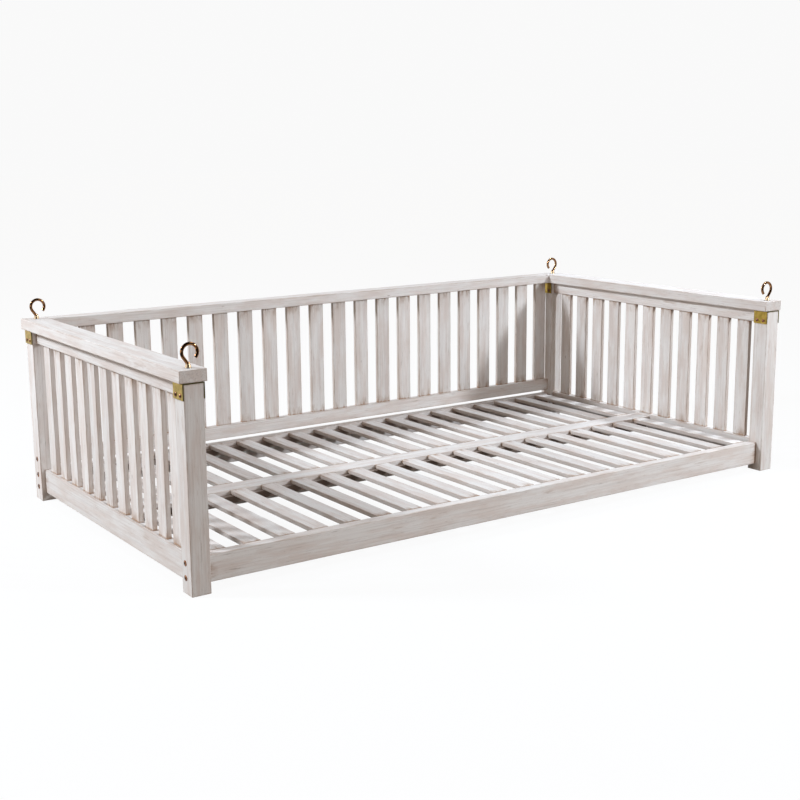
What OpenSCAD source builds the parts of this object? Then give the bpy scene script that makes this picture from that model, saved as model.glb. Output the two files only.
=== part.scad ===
// Hanging swing bed: a daybed frame of white-washed boards that hangs by four open hook bolts.
// Millimetres. Z is up, X runs along the bed and -Y is its open front.
// The origin lies at floor level, under the middle of the bed's outline.
// What comes in left and right pairs is drawn on the left, at -X, and mirrored.

/* [Overall] */
// Length over the outer faces of the posts
bed_l = 2000; // [1900:10:2200]
// Depth over the outer faces of the posts
bed_d = 1050; // [950:10:1200]
// Side of the square corner posts
post_w = 50; // [48:1:60]
// Height of the corner posts
post_h = 500; // [420:5:600]
// Radius of the eased edges of every board
edge_r = 2; // [1:0.5:3]

/* [Caps] */
// Overhang of the side caps beyond the posts, the same on both sides of them
cap_over = 10; // [7:0.5:15]
// Width of the cap board on top of the back panel
back_cap_w = 56; // [54:1:66]
// Thickness of the cap boards
cap_t = 30; // [24:1:36]

/* [Side panels] */
// Thickness of the side rails
side_rail_t = 25; // [22:1:30]
// Height of the upper side rails
upper_rail_h = 38; // [34:1:50]
// Height of the bottom side rails
bottom_rail_h = 70; // [64:1:80]
// Height of the bottom side rails' undersides over the floor
bottom_rail_z = 24; // [16:1:30]
// Number of slats in each side panel
side_slat_n = 11; // [8:1:12]
// Width of the side slats
side_slat_w = 48; // [40:1:52]
// Thickness of the side slats
side_slat_t = 13; // [10:0.5:15]

/* [Back panel] */
// Number of slats in the back panel
back_slat_n = 22; // [16:1:24]
// Width of the back slats
back_slat_w = 48.5; // [40:0.5:54]
// Thickness of the back slats
back_slat_t = 13; // [10:0.5:15]
// Distance from a side cap's inner edge to the first back slat
back_slat_in = 2; // [1.5:0.5:6]
// How far the back bottom rail stands behind the inner faces of the back posts
back_rail_set = 15; // [12:1:18]
// Thickness of the back bottom rail, which holds the back slats
back_rail_t = 25; // [22:1:30]
// Height of the back bottom rail
back_rail_h = 41; // [36:1:60]
// Height of the slit between the deck and the back bottom rail
back_slit = 14; // [6:1:30]

/* [Deck] */
// Height of the deck's upper face over the floor
deck_z = 88; // [84:1:110]
// How far the back lower rail stands behind the inner faces of the back posts
deck_rail_set = 12; // [10:1:16]
// Thickness of the front rail and the back lower rail
long_rail_t = 30; // [28:1:33]
// Height of the front rail and the back lower rail
long_rail_h = 67; // [60:1:72]
// Number of slats in each of the deck's two rows
deck_slat_n = 20; // [14:2:26]
// Width of the deck slats
deck_slat_w = 45; // [38:1:56]
// Thickness of the deck slats
deck_slat_t = 12; // [10:0.5:16]
// Distance from the inner faces of the posts to the first deck slat
deck_side_in = 20.25; // [20:0.25:32]
// Play at each end of a deck slat
deck_end_gap = 0.5; // [0.2:0.1:1.5]
// Width of the centre beam, which lies flat
beam_w = 68; // [56:1:90]
// Height of the centre beam
beam_h = 44; // [38:1:52]
// Side of the square ledger strips under the slats' ends
ledger_w = 20; // [16:1:24]
// Distance from a rail's end to the end of its ledger strip
ledger_in = 22; // [21:1:40]

/* [Joinery] */
// Depth of the mortises that hold the slats' ends
mortise_d = 10; // [6:1:12]
// Clearance between a board and the wall of its mortise
mortise_gap = 0.1; // [0.05:0.05:0.3]
// Width of the centre beam's stub tenons
tenon_w = 40; // [30:1:50]
// Height of the centre beam's stub tenons
tenon_h = 24; // [16:1:26]
// Length of the centre beam's stub tenons
tenon_l = 15; // [10:1:18]
// Diameter of the dowels
dowel_d = 8; // [6:1:9]
// Depth of the side rails' dowels in the posts
dowel_in_post = 14; // [10:1:15]
// Depth of the side rails' dowels in the rails
dowel_in_rail = 28; // [18:1:30]
// Distance from an upper side rail's edges to its dowels' axes
upper_dowel_edge = 11; // [9:0.5:13]
// Distance from a bottom side rail's edges to its dowels' axes
bottom_dowel_edge = 18; // [10:1:26]
// Depth of the back cap's dowels in each board
cap_dowel_in = 16; // [10:1:20]
// Distance of the back cap's dowels from the middle of its width
cap_dowel_y = 18; // [16:1:22]

/* [Saddles] */
// Thickness of the folded metal saddles over the posts' tops
saddle_t = 3; // [2:0.5:4]
// Length of a saddle's legs below the post's top
saddle_leg = 36; // [30:1:44]
// Distance of the screws above the lower ends of the legs
saddle_screw_z = 10; // [7:1:12]
// Distance of the two screws in a leg from the post's middle
saddle_screw_y = 12; // [10:1:15]

/* [Hook bolts] */
// Diameter of the round bar
bar_d = 8; // [7:0.5:9]
// Radius of the loop, to the middle of the bar
loop_r = 19.5; // [17:0.5:24]
// Height of the loop's centre over the cap's upper face
loop_z = 36; // [34:0.5:42]
// How far the loop's centre stands off the shank's axis, towards the bed
loop_x = 5; // [3:0.5:7]
// Angle at which the loop's cut tip ends, below the level of its centre
tip_a = 44; // [30:1:60]
// Lean of the straight piece between the loop and the shank
lead_a = 35; // [30:1:40]
// Radius of the small bend into the shank, to the middle of the bar
bend_r = 6; // [5:0.5:8]
// Diameter of the shoulder at its foot
shoulder_d = 14.5; // [13:0.5:16]
// Height of the tapered shoulder
shoulder_h = 12; // [10:0.5:13]
// Diameter of the washer under the shoulder
washer_d = 17; // [17:0.5:22]
// Thickness of the washer
washer_t = 1.5; // [1:0.5:2]
// Length of the shank below the saddle's plate
shank_below = 12; // [8:1:16]
// Size of the shank's nut across its flats
nut_af = 13; // [12:0.5:14]
// Height of the shank's nut
nut_h = 6.5; // [5:0.5:8]

/* [Bolts and screws] */
// Diameter of the rail bolts
bolt_d = 6; // [5:0.5:7]
// Diameter of the rail bolts' flat heads
bolt_head_d = 15; // [12:0.5:17]
// Height of the rail bolts' heads
bolt_head_h = 2.2; // [2:0.2:3]
// Size of the hexagon socket in a rail bolt's head
bolt_socket = 5; // [4:0.5:6]
// Distance of the front rail's bolts behind its front face
bolt_edge = 10; // [9:0.5:12]
// Height of the lower rail bolts over the long rail's underside
bolt_low = 19; // [14:1:22]
// Distance of the upper rail bolts below the long rail's upper edge
bolt_high = 12; // [10:1:16]
// Distance from a rail's end to the barrel nut's axis
barrel_in = 15; // [13:0.5:15]
// Diameter of the barrel nuts
barrel_d = 10; // [9:0.5:10]
// Length of the barrel nuts
barrel_l = 14; // [12:0.5:16]
// Length of bolt beyond the barrel nut's axis
bolt_past = 8; // [6:0.5:10]
// Diameter of the wood screws
screw_d = 4; // [3:0.5:4.5]
// Length of a saddle screw in the post
saddle_screw_l = 15; // [10:1:16]
// Depth of the ledger screws in the rail or beam
ledger_screw_in = 15; // [10:1:20]
// Depth of the slat screws in a deck slat
slat_screw_in = 8; // [6:0.5:9]
// Depth of the cap screws in a side cap
cap_screw_in = 17; // [12:1:20]
// Depth of the counterbore for a cap screw's head
cap_screw_sunk = 10; // [6:1:14]

/* [Clearances] */
// Radial clearance between a screw, bolt or dowel and its hole
hole_gap = 0.05; // [0.02:0.01:0.2]
// Radial clearance of a hook's shank in the saddle and nut that guide it
run_gap = 0.05; // [0.02:0.01:0.1]
// Radial clearance of a hook's shank in the wooden boards
shank_gap = 0.5; // [0.2:0.1:1]
// Clearance around a nut in its pocket, and past the end of what sits in a blind hole
end_gap = 0.3; // [0.1:0.1:0.6]

/* [Hidden] */
WOOD = "#dad6d0";
BRASS = "#b8923f";
BRONZE = "#8a6338";
STEEL = "#8d8f92";
BEECH = "#c9a878";
$fn = 48;

// Width of the side caps
cap_w = post_w + 2 * cap_over;

// Faces and axes of the posts on the left; Y runs from the front posts to the back posts
x_out = -bed_l / 2;
x_in = x_out + post_w;
x_post = x_out + post_w / 2;
y_out = -(bed_d + cap_over) / 2;
y_in = y_out + post_w;
y_back_out = y_out + bed_d;
y_back_in = y_back_out - post_w;
y_posts = [y_out + post_w / 2, y_back_out - post_w / 2];

// Cap boards
cap_z = post_h + saddle_t;
cap_top = cap_z + cap_t;
x_cap = x_out - cap_over;
x_cap_in = x_in + cap_over;
y_back_cap = y_back_out + cap_over - back_cap_w;

// Side panels
x_rail = x_post - side_rail_t / 2;
x_rail_in = x_post + side_rail_t / 2;
upper_rail_z = cap_z - upper_rail_h;
side_gap = (bed_d - 2 * post_w - side_slat_n * side_slat_w) / (side_slat_n + 1);
side_pitch = side_gap + side_slat_w;
side_slat_z = bottom_rail_z + bottom_rail_h - mortise_d;
side_slat_l = upper_rail_z + mortise_d - side_slat_z;

// Back panel
y_back_rail = y_back_in + back_rail_set;
back_rail_z = deck_z + back_slit;
back_pitch = (-2 * x_cap_in - 2 * back_slat_in - back_slat_w) / (back_slat_n - 1);
y_back_slat = y_back_rail + (back_rail_t - back_slat_t) / 2;
back_slat_z = back_rail_z + back_rail_h - mortise_d;
back_slat_l = cap_z + mortise_d - back_slat_z;

// Deck
rail_l = bed_l - 2 * post_w;
rail_z = deck_z - long_rail_h;
y_front_rail = y_in - long_rail_t;
y_deck_rail = y_back_in + deck_rail_set;
deck_slat_l = (y_deck_rail - y_in - beam_w) / 2 - 2 * deck_end_gap;
deck_pitch = (-2 * x_in - 2 * deck_side_in - deck_slat_w) / (deck_slat_n - 1);
y_beam = (y_in + y_deck_rail - beam_w) / 2;
beam_z = deck_z - beam_h;
tenon_z = beam_z + (beam_h - tenon_h) / 2;
ledger_l = rail_l - 2 * ledger_in;
ledger_z = deck_z - deck_slat_t - ledger_w;
// Faces that the ledgers are screwed to, each with the side on which its ledger lies
LEDGER_FRONT = [y_in, 1];
LEDGER_CENTRE_FRONT = [y_beam, -1];
LEDGER_CENTRE_BACK = [y_beam + beam_w, 1];
LEDGER_BACK = [y_deck_rail, -1];
LEDGERS = [LEDGER_FRONT, LEDGER_CENTRE_FRONT, LEDGER_CENTRE_BACK, LEDGER_BACK];
// A screw holds each ledger at the middle of every third gap between deck slats
ledger_screw_n = floor((ledger_l / 2 - 20) / (3 * deck_pitch));

// Rail bolts: distance along Y, height, and the face that the barrel nut's hole opens on
bolt_l = post_w + barrel_in + bolt_past;
y_bolt_front = y_front_rail + bolt_edge;
y_bolt_back = y_posts[1];
bolt_heights = [rail_z + bolt_low, deck_z - bolt_high];
FRONT_BOLTS = [for (z = bolt_heights) [y_bolt_front, z, y_in]];
LOWER_BOLTS = [for (z = bolt_heights) [y_bolt_back, z, y_deck_rail + long_rail_t]];
UPPER_BOLTS = [[y_bolt_back, back_rail_z + back_rail_h / 2, y_back_rail + back_rail_t]];
BOLTS = concat(FRONT_BOLTS, LOWER_BOLTS, UPPER_BOLTS);

// Heights of the dowels in the ends of the side rails
dowel_heights = [
    bottom_rail_z + bottom_dowel_edge, bottom_rail_z + bottom_rail_h - bottom_dowel_edge,
    upper_rail_z + upper_dowel_edge, cap_z - upper_dowel_edge
];

// Hook bolts
foot_z = cap_top + washer_t;
nut_r = nut_af / 2 / cos(30);
lead_l = (loop_r * cos(lead_a) - loop_x - bend_r * (1 - cos(lead_a))) / sin(lead_a);
bend_z = cap_top + loop_z - (loop_r + bend_r) * sin(lead_a) - lead_l * cos(lead_a);

// ---------- Helpers ----------

// Rectangle with round corners, its lower left corner at the origin
module eased(size, r) {
    translate([r, 0]) square([size.x - 2 * r, size.y]);
    translate([0, r]) square([size.x, size.y - 2 * r]);
    for (x = [r, size.x - r], y = [r, size.y - r]) translate([x, y]) circle(r);
}

// Boards that run along X, Y or Z with their long edges eased; p is the lowest corner
module board_x(p, size, r = edge_r)
    translate(p) rotate([90, 0, 90]) linear_extrude(size.x) eased([size.y, size.z], r);
module board_y(p, size, r = edge_r)
    translate(p + [0, size.y, 0]) rotate([90, 0, 0]) linear_extrude(size.y) eased([size.x, size.z], r);
module board_z(p, size, r = edge_r)
    translate(p) linear_extrude(size.z) eased([size.x, size.y], r);

// Block with all its edges eased
module eased_block(p, size, r = edge_r) intersection() {
    board_x(p, size, r);
    board_y(p, size, r);
    board_z(p, size, r);
}

// Rectangular pocket, larger than the board in it by the mortise clearance across its length
module mortise(p, size)
    translate(p - [mortise_gap, mortise_gap, 0]) cube(size + [2 * mortise_gap, 2 * mortise_gap, 0]);

// The left side, or its mirror image on the right
module on_side(side) {
    if (side == "left") children();
    else mirror([1, 0, 0]) children();
}
module on_both_sides() {
    children();
    mirror([1, 0, 0]) children();
}

// Turn +Z towards the named direction, at point p
module aim(p, to) {
    turn = to == "-x" ? [0, -90, 0] : to == "+x" ? [0, 90, 0] : to == "-y" ? [90, 0, 0]
        : to == "+y" ? [-90, 0, 0] : to == "-z" ? [180, 0, 0] : [0, 0, 0];
    translate(p) rotate(turn) children();
}

// Screw with its head above Z = 0 and its shank below, and the hole that takes the shank
module screw(l, d = screw_d) {
    cylinder(h = 0.6 * d, r1 = d, r2 = 0.8 * d);
    translate([0, 0, -l]) cylinder(h = l, d = d);
}
module screw_hole(l, d = screw_d) translate([0, 0, -l - end_gap]) cylinder(h = l + end_gap, d = d + 2 * hole_gap);

// Dowel along +Z from Z = -a to Z = b, and its hole
module dowel(a, b) translate([0, 0, -a]) cylinder(h = a + b, d = dowel_d);
module dowel_hole(a, b)
    translate([0, 0, -a - end_gap]) cylinder(h = a + b + 2 * end_gap, d = dowel_d + 2 * hole_gap);

// ---------- Where the fasteners go, all on the left side ----------

// +Z points out of the posts' outer face
module at_bolts(spots) for (b = spots) aim([x_out, b[0], b[1]], "-x") children();

// The dowels lie across the joint between rail and post; +Z points into the rail
module at_rail_dowels(zs) for (z = zs) {
    aim([x_post, y_in, z], "+y") children();
    aim([x_post, y_back_in, z], "-y") children();
}

// +Z points from the side cap into the back cap
module at_cap_dowels() for (s = [-1, 1])
    aim([x_cap_in, y_back_cap + back_cap_w / 2 + s * cap_dowel_y, cap_z + cap_t / 2], "+x") children();

// +Z points down, out of the upper rail's underside
module at_cap_screws() for (i = [1 : 3 : side_slat_n])
    aim([x_post, y_in + side_gap / 2 + i * side_pitch, upper_rail_z + cap_screw_sunk], "-z") children();

// +Z points out of each leg of the saddle on the post at y
module at_saddle_screws(y) for (s = [-1, 1]) {
    z = post_h - saddle_leg + saddle_screw_z;
    aim([x_out - saddle_t, y + s * saddle_screw_y, z], "-x") children();
    aim([x_in + saddle_t, y + s * saddle_screw_y, z], "+x") children();
}

// Along one ledger; +Z points away from the rail or beam
module at_ledger_screws(ledger) for (i = [-ledger_screw_n : ledger_screw_n])
    aim([3 * i * deck_pitch, ledger[0] + ledger[1] * ledger_w, ledger_z + ledger_w / 2],
        ledger[1] > 0 ? "+y" : "-y") children();

// Middle of each deck slat over one ledger; +Z points down, out of the ledger's underside
function deck_slat_x(i) = x_in + deck_side_in + i * deck_pitch;
module at_slat_screws(ledger) for (i = [0 : deck_slat_n - 1])
    aim([deck_slat_x(i) + deck_slat_w / 2, ledger[0] + ledger[1] * ledger_w / 2, ledger_z], "-z") children();

// Axis of each hook bolt on the left side
module at_hook(y) translate([x_post, y, 0]) children();

// ---------- Posts and caps ----------

module post(end) {
    y = y_posts[end];
    difference() {
        eased_block([x_out, y - post_w / 2, 0], [post_w, post_w, post_h]);
        // The hook's nut and shank
        at_hook(y) {
            translate([0, 0, post_h - nut_h - end_gap]) cylinder(h = nut_h + 1, r = nut_r + end_gap);
            translate([0, 0, post_h - shank_below - 2]) cylinder(h = shank_below + 3, d = bar_d + 2 * shank_gap);
        }
        at_saddle_screws(y) screw_hole(saddle_t + saddle_screw_l);
        at_bolts(end == 0 ? FRONT_BOLTS : concat(LOWER_BOLTS, UPPER_BOLTS))
            translate([0, 0, -post_w - 1]) cylinder(h = post_w + 2, d = bolt_d + 2 * hole_gap);
        for (z = dowel_heights)
            aim([x_post, end == 0 ? y_in : y_back_in, z], end == 0 ? "+y" : "-y")
                dowel_hole(dowel_in_post, 1);
    }
}
module post_front_left() color(WOOD) on_side("left") post(0);
module post_front_right() color(WOOD) on_side("right") post(0);
module post_back_left() color(WOOD) on_side("left") post(1);
module post_back_right() color(WOOD) on_side("right") post(1);

module side_cap() difference() {
    eased_block([x_cap, y_out, cap_z], [cap_w, bed_d + cap_over, cap_t]);
    for (y = y_posts) at_hook(y)
        translate([0, 0, cap_z - 1]) cylinder(h = cap_t + 2, d = bar_d + 2 * shank_gap);
    at_cap_dowels() dowel_hole(cap_dowel_in, 1);
    at_cap_screws() screw_hole(cap_z - upper_rail_z - cap_screw_sunk + cap_screw_in);
}
module cap_left() color(WOOD) on_side("left") side_cap();
module cap_right() color(WOOD) on_side("right") side_cap();

module cap_back() color(WOOD) difference() {
    board_x([x_cap_in, y_back_cap, cap_z], [-2 * x_cap_in, back_cap_w, cap_t]);
    on_both_sides() at_cap_dowels() dowel_hole(1, cap_dowel_in);
    for (i = [0 : back_slat_n - 1])
        mortise([back_slat_x(i), y_back_slat, cap_z - 1], [back_slat_w, back_slat_t, mortise_d + 1]);
}

// ---------- Side panels ----------

function side_slat_y(i) = y_in + side_gap + i * side_pitch;

module upper_rail() difference() {
    board_y([x_rail, y_in, upper_rail_z], [side_rail_t, y_back_in - y_in, upper_rail_h]);
    for (i = [0 : side_slat_n - 1])
        mortise([x_post - side_slat_t / 2, side_slat_y(i), upper_rail_z - 1],
            [side_slat_t, side_slat_w, mortise_d + 1]);
    at_rail_dowels([dowel_heights[2], dowel_heights[3]]) dowel_hole(1, dowel_in_rail);
    at_cap_screws() {
        cylinder(h = cap_screw_sunk + 1, r = screw_d + end_gap);
        screw_hole(cap_z - upper_rail_z);
    }
}
module upper_rail_left() color(WOOD) on_side("left") upper_rail();
module upper_rail_right() color(WOOD) on_side("right") upper_rail();

module bottom_rail() difference() {
    board_y([x_rail, y_in, bottom_rail_z], [side_rail_t, y_back_in - y_in, bottom_rail_h]);
    for (i = [0 : side_slat_n - 1])
        mortise([x_post - side_slat_t / 2, side_slat_y(i), side_slat_z],
            [side_slat_t, side_slat_w, mortise_d + 1]);
    at_rail_dowels([dowel_heights[0], dowel_heights[1]]) dowel_hole(1, dowel_in_rail);
    // Mortise for the centre beam's stub tenon
    translate([x_rail_in - tenon_l - end_gap, y_beam + (beam_w - tenon_w) / 2 - mortise_gap, tenon_z - mortise_gap])
        cube([tenon_l + end_gap + 1, tenon_w + 2 * mortise_gap, tenon_h + 2 * mortise_gap]);
}
module bottom_rail_left() color(WOOD) on_side("left") bottom_rail();
module bottom_rail_right() color(WOOD) on_side("right") bottom_rail();

module side_slats() for (i = [0 : side_slat_n - 1])
    board_z([x_post - side_slat_t / 2, side_slat_y(i), side_slat_z], [side_slat_t, side_slat_w, side_slat_l]);
module side_slats_left() color(WOOD) on_side("left") side_slats();
module side_slats_right() color(WOOD) on_side("right") side_slats();

// ---------- Back panel ----------

function back_slat_x(i) = x_cap_in + back_slat_in + i * back_pitch;

module back_slats() color(WOOD) for (i = [0 : back_slat_n - 1])
    board_z([back_slat_x(i), y_back_slat, back_slat_z], [back_slat_w, back_slat_t, back_slat_l]);

// A long rail between the posts, drilled for its bolts and barrel nuts
module long_rail(p, t, h, spots) difference() {
    board_x(p, [rail_l, t, h]);
    on_both_sides() at_bolts(spots)
        translate([0, 0, -bolt_l - end_gap]) cylinder(h = bolt_l + end_gap, d = bolt_d + 2 * hole_gap);
    on_both_sides() for (b = spots)
        aim([x_in + barrel_in, b[0] - barrel_l / 2 - end_gap, b[1]], "+y")
            cylinder(h = b[2] - b[0] + barrel_l / 2 + end_gap + 1, d = barrel_d + 2 * hole_gap);
    children();
}

module back_bottom_rail() color(WOOD)
    long_rail([x_in, y_back_rail, back_rail_z], back_rail_t, back_rail_h, UPPER_BOLTS)
        for (i = [0 : back_slat_n - 1])
            mortise([back_slat_x(i), y_back_slat, back_slat_z], [back_slat_w, back_slat_t, mortise_d + 1]);

// ---------- Deck ----------

module back_lower_rail() color(WOOD)
    long_rail([x_in, y_deck_rail, rail_z], long_rail_t, long_rail_h, LOWER_BOLTS)
        at_ledger_screws(LEDGER_BACK) screw_hole(ledger_w + ledger_screw_in);

module front_rail() color(WOOD)
    long_rail([x_in, y_front_rail, rail_z], long_rail_t, long_rail_h, FRONT_BOLTS)
        at_ledger_screws(LEDGER_FRONT) screw_hole(ledger_w + ledger_screw_in);

module centre_beam() color(WOOD) difference() {
    union() {
        board_x([x_rail_in, y_beam, beam_z], [-2 * x_rail_in, beam_w, beam_h]);
        translate([x_rail_in - tenon_l, y_beam + (beam_w - tenon_w) / 2, tenon_z])
            cube([2 * (tenon_l - x_rail_in), tenon_w, tenon_h]);
    }
    for (ledger = [LEDGER_CENTRE_FRONT, LEDGER_CENTRE_BACK])
        at_ledger_screws(ledger) screw_hole(ledger_w + ledger_screw_in);
}

module ledger_strip(ledger) color(WOOD) difference() {
    board_x([x_in + ledger_in, min(ledger[0], ledger[0] + ledger[1] * ledger_w), ledger_z],
        [ledger_l, ledger_w, ledger_w], 1);
    at_ledger_screws(ledger) screw_hole(ledger_w + 1);
    at_slat_screws(ledger) screw_hole(ledger_w + 1);
}
module ledger_front() ledger_strip(LEDGER_FRONT);
module ledger_centre_front() ledger_strip(LEDGER_CENTRE_FRONT);
module ledger_centre_back() ledger_strip(LEDGER_CENTRE_BACK);
module ledger_back() ledger_strip(LEDGER_BACK);

// One row of deck slats from y, over a ledger at each end
module deck_row(y, ledgers) color(WOOD) for (i = [0 : deck_slat_n - 1]) difference() {
    board_y([deck_slat_x(i), y + deck_end_gap, deck_z - deck_slat_t], [deck_slat_w, deck_slat_l, deck_slat_t]);
    for (ledger = ledgers)
        aim([deck_slat_x(i) + deck_slat_w / 2, ledger[0] + ledger[1] * ledger_w / 2, ledger_z], "-z")
            screw_hole(ledger_w + slat_screw_in);
}
module deck_slats_front() deck_row(y_in, [LEDGER_FRONT, LEDGER_CENTRE_FRONT]);
module deck_slats_back() deck_row(y_beam + beam_w, [LEDGER_CENTRE_BACK, LEDGER_BACK]);

// ---------- Saddles ----------

module saddle(end) {
    y = y_posts[end];
    difference() {
        // Folded strip: a plate over the post's top and a leg down each side
        translate([x_post, y + post_w / 2, 0]) rotate([90, 0, 0]) linear_extrude(post_w) difference() {
            half = post_w / 2 + saddle_t;
            union() {
                translate([-half, post_h - saddle_leg]) square([2 * half, saddle_leg]);
                translate([-half + saddle_t, post_h]) square([2 * half - 2 * saddle_t, saddle_t]);
                for (s = [-1, 1]) translate([s * (half - saddle_t), post_h]) circle(saddle_t);
            }
            translate([-post_w / 2, post_h - saddle_leg - 1]) square([post_w, saddle_leg + 1]);
        }
        at_hook(y) translate([0, 0, post_h - 1]) cylinder(h = saddle_t + 2, d = bar_d + 2 * run_gap);
        at_saddle_screws(y) screw_hole(saddle_t + 1);
    }
}
module saddle_front_left() color(BRASS) on_side("left") saddle(0);
module saddle_front_right() color(BRASS) on_side("right") saddle(0);
module saddle_back_left() color(BRASS) on_side("left") saddle(1);
module saddle_back_right() color(BRASS) on_side("right") saddle(1);

// ---------- Hook bolts ----------

// Part of a ring in the XZ plane, from angle a over sweep
module ring_arc(r, a, sweep)
    rotate([90, 0, 0]) rotate([0, 0, a])
        rotate_extrude(angle = sweep, $fn = 96) translate([r, 0]) circle(d = bar_d);

// Ball where two runs of bar meet, a hair larger than the bar so that it holds both ends
module bead() sphere(d = bar_d + 0.02);

module hook(end) at_hook(y_posts[end]) {
    translate([loop_x, 0, cap_top + loop_z]) {
        ring_arc(loop_r, -tip_a, tip_a + 180 + lead_a);
        // Straight lead, and the small bend that turns it upright
        rotate([0, -lead_a, 0]) translate([-loop_r, 0, 0]) {
            bead();
            translate([0, 0, -lead_l]) {
                cylinder(h = lead_l, d = bar_d);
                bead();
                translate([-bend_r, 0, 0]) ring_arc(bend_r, -lead_a, lead_a);
            }
        }
    }
    // Shank and tapered shoulder
    translate([0, 0, post_h - shank_below]) cylinder(h = bend_z - post_h + shank_below, d = bar_d);
    translate([0, 0, foot_z]) cylinder(h = shoulder_h, d1 = shoulder_d, d2 = bar_d + 1);
}
module hook_front_left() color(BRONZE) on_side("left") hook(0);
module hook_front_right() color(BRONZE) on_side("right") hook(0);
module hook_back_left() color(BRONZE) on_side("left") hook(1);
module hook_back_right() color(BRONZE) on_side("right") hook(1);

module hook_washers() color(BRASS) on_both_sides() for (y = y_posts) at_hook(y)
    translate([0, 0, cap_top]) difference() {
        cylinder(h = washer_t, d = washer_d);
        translate([0, 0, -1]) cylinder(h = washer_t + 2, d = bar_d + 2 * shank_gap);
    }

module saddle_nuts() color(STEEL) on_both_sides() for (y = y_posts) at_hook(y)
    translate([0, 0, post_h - nut_h]) difference() {
        cylinder(h = nut_h, r = nut_r, $fn = 6);
        translate([0, 0, -1]) cylinder(h = nut_h + 2, d = bar_d + 2 * run_gap);
    }

// ---------- Bolts, screws and dowels ----------

// Each head has a shallow cross recess
module saddle_screws() color(BRASS) on_both_sides() for (y = y_posts) at_saddle_screws(y) difference() {
    screw(saddle_t + saddle_screw_l);
    translate([0, 0, 0.6 * screw_d]) for (a = [0, 90]) rotate([0, 0, a])
        cube([screw_d, 0.2 * screw_d, 0.5 * screw_d], center = true);
}

module rail_bolts() color(BRONZE) on_both_sides() at_bolts(BOLTS) difference() {
    union() {
        cylinder(h = bolt_head_h, d1 = bolt_head_d, d2 = bolt_head_d - bolt_head_h);
        translate([0, 0, -bolt_l]) cylinder(h = bolt_l, d = bolt_d);
    }
    translate([0, 0, 0.3 * bolt_head_h]) cylinder(h = bolt_head_h, d = bolt_socket / cos(30), $fn = 6);
}

module barrel_nuts() color(STEEL) on_both_sides() for (b = BOLTS)
    difference() {
        aim([x_in + barrel_in, b[0] - barrel_l / 2, b[1]], "+y") cylinder(h = barrel_l, d = barrel_d);
        aim([x_in, b[0], b[1]], "+x") cylinder(h = 2 * barrel_in, d = bolt_d + 2 * hole_gap);
    }

module rail_dowels() color(BEECH) on_both_sides() at_rail_dowels(dowel_heights)
    dowel(dowel_in_post, dowel_in_rail);

module cap_dowels() color(BEECH) on_both_sides() at_cap_dowels() dowel(cap_dowel_in, cap_dowel_in);

module cap_screws() color(STEEL) on_both_sides() at_cap_screws()
    screw(cap_z - upper_rail_z - cap_screw_sunk + cap_screw_in);

module ledger_screws() color(STEEL) for (ledger = LEDGERS)
    at_ledger_screws(ledger) screw(ledger_w + ledger_screw_in);

module slat_screws() color(STEEL) for (ledger = LEDGERS)
    at_slat_screws(ledger) screw(ledger_w + slat_screw_in);

post_front_left();
post_front_right();
post_back_left();
post_back_right();
cap_left();
cap_right();
cap_back();
upper_rail_left();
upper_rail_right();
bottom_rail_left();
bottom_rail_right();
side_slats_left();
side_slats_right();
back_slats();
back_bottom_rail();
back_lower_rail();
front_rail();
centre_beam();
ledger_front();
ledger_centre_front();
ledger_centre_back();
ledger_back();
deck_slats_front();
deck_slats_back();
saddle_front_left();
saddle_front_right();
saddle_back_left();
saddle_back_right();
hook_front_left();
hook_front_right();
hook_back_left();
hook_back_right();
hook_washers();
saddle_nuts();
saddle_screws();
rail_bolts();
barrel_nuts();
rail_dowels();
cap_dowels();
cap_screws();
ledger_screws();
slat_screws();
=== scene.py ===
"""Dresses the hanging swing bed: white-washed boards, hook bolts, saddles and their fixings."""

import math
from functools import partial

import bmesh
import bpy
from bpy.props import FloatProperty, IntProperty, PointerProperty, StringProperty
from mathutils import Matrix, Vector


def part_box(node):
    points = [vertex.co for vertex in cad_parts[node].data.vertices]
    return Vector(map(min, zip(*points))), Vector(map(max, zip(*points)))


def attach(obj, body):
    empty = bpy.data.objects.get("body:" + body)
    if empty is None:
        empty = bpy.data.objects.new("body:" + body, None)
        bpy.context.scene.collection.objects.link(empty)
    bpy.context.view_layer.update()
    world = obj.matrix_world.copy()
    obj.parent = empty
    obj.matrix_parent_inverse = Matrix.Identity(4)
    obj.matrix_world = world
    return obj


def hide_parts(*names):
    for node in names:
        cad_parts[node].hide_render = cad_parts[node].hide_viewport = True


bl_info = {
    "name": "Hanging Swing Bed",
    "version": (1, 0, 0),
    "blender": (4, 5, 0),
    "location": "View3D > Sidebar > Swing Bed",
    "description": "Makes the boards, slats, hook bolts and finishes of a hanging swing bed",
    "category": "Add Mesh",
}

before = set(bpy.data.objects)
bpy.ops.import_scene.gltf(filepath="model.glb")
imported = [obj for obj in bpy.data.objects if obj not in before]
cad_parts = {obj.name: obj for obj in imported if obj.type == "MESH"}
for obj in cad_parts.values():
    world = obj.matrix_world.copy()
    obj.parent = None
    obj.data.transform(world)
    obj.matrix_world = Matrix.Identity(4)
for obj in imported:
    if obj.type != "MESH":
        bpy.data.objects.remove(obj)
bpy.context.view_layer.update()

POSTS = ["post_front_left", "post_front_right", "post_back_left", "post_back_right"]
CAPS = ["cap_left", "cap_right", "cap_back"]
RAILS = [
    "upper_rail_left",
    "upper_rail_right",
    "bottom_rail_left",
    "bottom_rail_right",
    "back_bottom_rail",
    "back_lower_rail",
    "front_rail",
]
BEARERS = ["centre_beam", "ledger_front", "ledger_centre_front", "ledger_centre_back", "ledger_back"]
CORNERS = ["front_left", "front_right", "back_left", "back_right"]
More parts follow.
